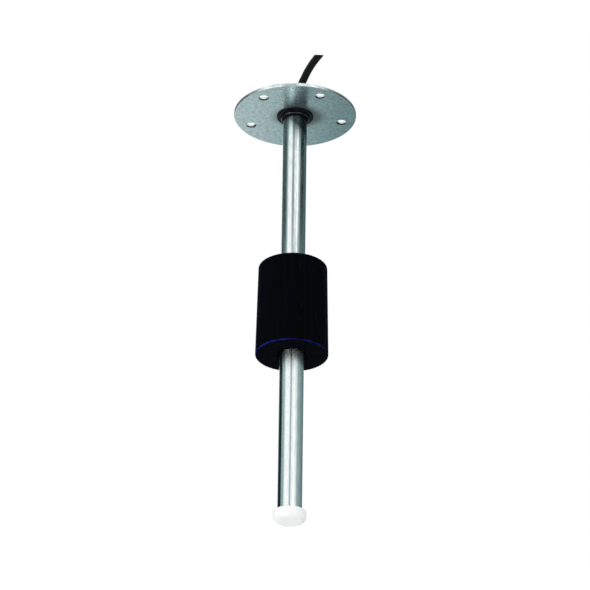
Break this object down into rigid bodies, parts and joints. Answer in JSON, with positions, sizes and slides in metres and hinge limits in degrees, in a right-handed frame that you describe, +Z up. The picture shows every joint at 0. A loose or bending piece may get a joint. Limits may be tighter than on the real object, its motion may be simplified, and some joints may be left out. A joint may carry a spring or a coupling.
{
  "type": "tank level sensor",
  "caption": "Float level sensor for a tank: a round bolt flange carries a steel stem with reed switches inside, and a magnetic float slides along the stem.",
  "frame": {"origin": "centre of the flange's underside, the face that meets the tank", "axes": "+Z up out of the tank along the stem, +Y through one bolt hole"},
  "size_m": [0.069, 0.069, 0.2978],
  "materials": {
    "flange_steel": "satin",
    "stem_steel": "polished",
    "seal_rubber": "smooth",
    "float_foam": "moulded foam",
    "magnet": "matt",
    "end_cap_plastic": "smooth",
    "board": "satin",
    "reed_glass": "clear",
    "resistor": "glossy",
    "core_brown": "smooth",
    "core_blue": "smooth",
    "potting_resin": "glossy",
    "top_cap_plastic": "fine grain",
    "cable_jacket": "smooth"
  },
  "bodies": {
    "stem_assembly": {"flange": "flange_steel", "stem_tube": "stem_steel", "stem_seal": "seal_rubber", "end_cap": "end_cap_plastic", "end_cap_ring": "seal_rubber", "circuit_board": "board", "top_cap": "top_cap_plastic", "grommet": "seal_rubber", "cable": "cable_jacket", "potting": "potting_resin", "cable_core_1": "core_brown", "cable_core_2": "core_blue", "reed_switch_1": "reed_glass", "reed_switch_2": "reed_glass", "reed_switch_3": "reed_glass", "reed_switch_4": "reed_glass", "reed_switch_5": "reed_glass", "reed_switch_6": "reed_glass", "reed_switch_7": "reed_glass", "reed_switch_8": "reed_glass", "resistor_1": "resistor", "resistor_2": "resistor", "resistor_3": "resistor", "resistor_4": "resistor", "resistor_5": "resistor", "resistor_6": "resistor", "resistor_7": "resistor"},
    "float_assembly": {"float": "float_foam", "float_magnet": "magnet"}
  },
  "joints": [
    {"name": "float_slide", "type": "slide", "parent": "stem_assembly", "child": "float_assembly", "axis": [0, 0, 1], "range_m": [-0.0939, 0.0934]}
  ]
}
